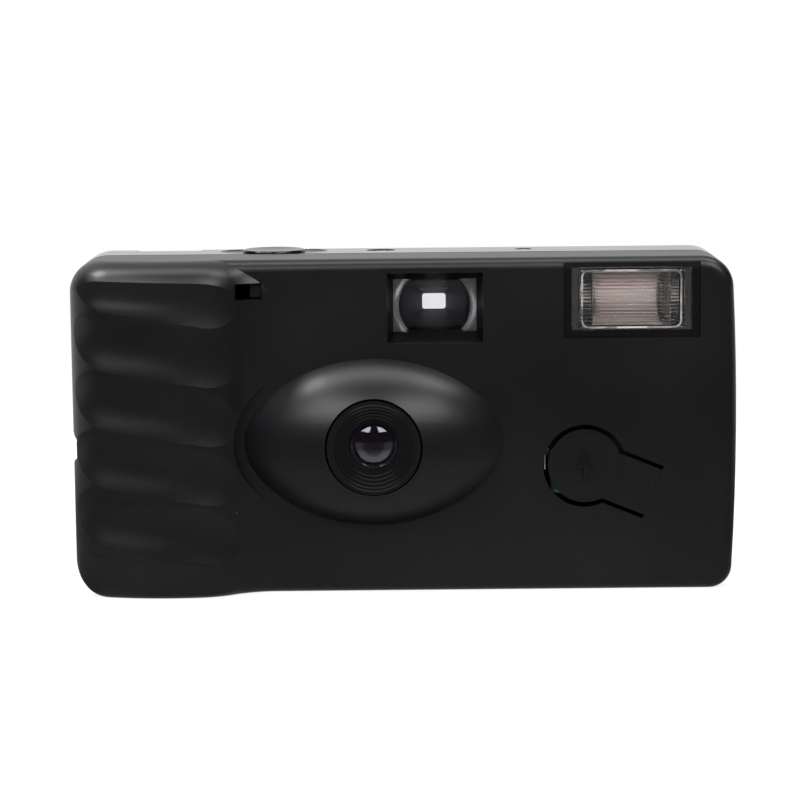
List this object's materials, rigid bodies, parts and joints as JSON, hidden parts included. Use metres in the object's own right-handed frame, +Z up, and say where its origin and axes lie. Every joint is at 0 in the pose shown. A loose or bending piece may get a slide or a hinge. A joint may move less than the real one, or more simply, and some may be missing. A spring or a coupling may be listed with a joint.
{
  "type": "disposable film camera",
  "caption": "Single-use film camera with a finger grip, oval lens dome, built-in flash, thumb wheel and a film door in its base.",
  "frame": {"origin": "middle of the base, on the surface that the camera stands on", "axes": "+X to the viewer's right along the longest side, +Y to the back of the camera (the lens looks along -Y), +Z up"},
  "size_m": [0.115, 0.0345, 0.0584],
  "materials": {
    "black_shell": "fine matte moulded surface",
    "black_satin": "satin moulded surface",
    "inner_black": "plain moulded surface",
    "white_plastic": "plain moulded surface",
    "clear_plastic": "polished clear plastic",
    "lens_plastic": "polished optical plastic",
    "light_pipe_plastic": "polished clear plastic",
    "blackened_metal": "blackened thin sheet",
    "spring_steel": "plain rolled steel",
    "film_base": "glossy brown-grey film",
    "cassette_metal": "plain grey lacquer",
    "cap_metal": "black lacquer",
    "reflector_metal": "bright metal",
    "tube_glass": "clear glass",
    "electrode_metal": "dull metal",
    "board_green": "green circuit board",
    "capacitor_sleeve": "shrunk dark sleeve",
    "coil_copper": "lacquered copper winding",
    "lamp_glass": "small neon lamp",
    "battery_sleeve": null
  },
  "bodies": {
    "camera_body": {"front_shell": "black_shell", "rear_shell": "black_shell", "lens_ring": "black_satin", "taking_lens": "lens_plastic", "lens_baffle": "inner_black", "shutter_cover": "inner_black", "shutter_spring": "spring_steel", "striker_spring": "spring_steel", "chassis": "inner_black", "film_strip": "film_base", "cassette_shell": "cassette_metal", "cassette_top_cap": "cap_metal", "cassette_bottom_cap": "cap_metal", "counter_window": "clear_plastic", "finder_front_lens": "clear_plastic", "finder_tunnel": "inner_black", "eyepiece": "clear_plastic", "flash_window": "clear_plastic", "flash_reflector": "reflector_metal", "flash_tube": "tube_glass", "tube_electrodes": "electrode_metal", "flash_board": "board_green", "flash_capacitor": "capacitor_sleeve", "flash_transformer": "coil_copper", "trigger_coil": "coil_copper", "ready_lamp": "lamp_glass", "light_pipe": "light_pipe_plastic", "switch_leaf": "spring_steel", "battery": "battery_sleeve", "positive_contact": "spring_steel", "negative_contact": "spring_steel"},
    "winding_wheel": {"thumb_wheel": "black_satin"},
    "take_up_spool": {"cassette_spool": "inner_black", "wound_film": "film_base"},
    "sprocket": {"film_sprocket": "inner_black"},
    "film_supply": {"supply_spool": "inner_black", "supply_roll": "film_base"},
    "counter": {"counter_dial": "white_plastic"},
    "release_button": {"shutter_button": "black_satin"},
    "metering": {"metering_lever": "white_plastic"},
    "striker_arm": {"striker": "spring_steel"},
    "blade": {"shutter_blade": "blackened_metal"},
    "charge_button": {"flash_button": "black_shell"},
    "door": {"film_door": "black_shell"}
  },
  "joints": [
    {"name": "wheel_turn", "type": "hinge", "parent": "camera_body", "child": "winding_wheel", "pos_m": [-0.0415, 0.0029, 0.0526], "axis": [0, 0, 1], "continuous": true},
    {"name": "take_up_turn", "type": "hinge", "parent": "camera_body", "child": "take_up_spool", "pos_m": [-0.0415, 0.0029, 0.026], "axis": [0, 0, 1], "continuous": true},
    {"name": "sprocket_turn", "type": "hinge", "parent": "camera_body", "child": "sprocket", "pos_m": [-0.0188, 0.00605, 0.046], "axis": [0, 0, 1], "continuous": true},
    {"name": "supply_turn", "type": "hinge", "parent": "camera_body", "child": "film_supply", "pos_m": [0.04, 0.0054, 0.026], "axis": [0, 0, 1], "continuous": true},
    {"name": "counter_turn", "type": "hinge", "parent": "camera_body", "child": "counter", "pos_m": [-0.0084, 0.0052, 0.0555], "axis": [0, 0, 1], "continuous": true},
    {"name": "release_press", "type": "slide", "parent": "camera_body", "child": "release_button", "axis": [0, 0, -1], "range_m": [0, 0.0013], "stiffness_N_per_m": 400, "springref_m": -0.0005},
    {"name": "metering_turn", "type": "hinge", "parent": "camera_body", "child": "metering", "pos_m": [-0.0215, -0.0015, 0.0487], "axis": [0, 0, 1], "range_deg": [0, 8]},
    {"name": "striker_turn", "type": "hinge", "parent": "camera_body", "child": "striker_arm", "pos_m": [-0.012, 0.0063, 0.047], "axis": [0, 0, 1], "range_deg": [0, 30], "stiffness_Nm_per_rad": 0.002, "springref_deg": -5.73},
    {"name": "blade_turn", "type": "hinge", "parent": "camera_body", "child": "blade", "pos_m": [-0.013, -0.0076, 0.032], "axis": [0, 1, 0], "range_deg": [0, 30]},
    {"name": "charge_press", "type": "hinge", "parent": "camera_body", "child": "charge_button", "pos_m": [0.04297, -0.00825, 0.01714], "axis": [-0.3746, 0, -0.9272], "range_deg": [0, 4.5], "stiffness_Nm_per_rad": 0.15, "springref_deg": -1.15},
    {"name": "door_hinge", "type": "hinge", "parent": "camera_body", "child": "door", "pos_m": [-0.0415, 0.0144, 0.0002], "axis": [1, 0, 0], "range_deg": [0, 95]}
  ],
  "couplings": [
    {"joint": "take_up_turn", "follows": "wheel_turn", "ratio": 1},
    {"joint": "sprocket_turn", "follows": "wheel_turn", "ratio": 1.2236},
    {"joint": "supply_turn", "follows": "wheel_turn", "ratio": 0.925},
    {"joint": "counter_turn", "follows": "wheel_turn", "ratio": -0.04894},
    {"joint": "metering_turn", "follows": "release_press", "rad_per_m": 104.72},
    {"joint": "blade_turn", "follows": "striker_turn", "ratio": 1}
  ]
}
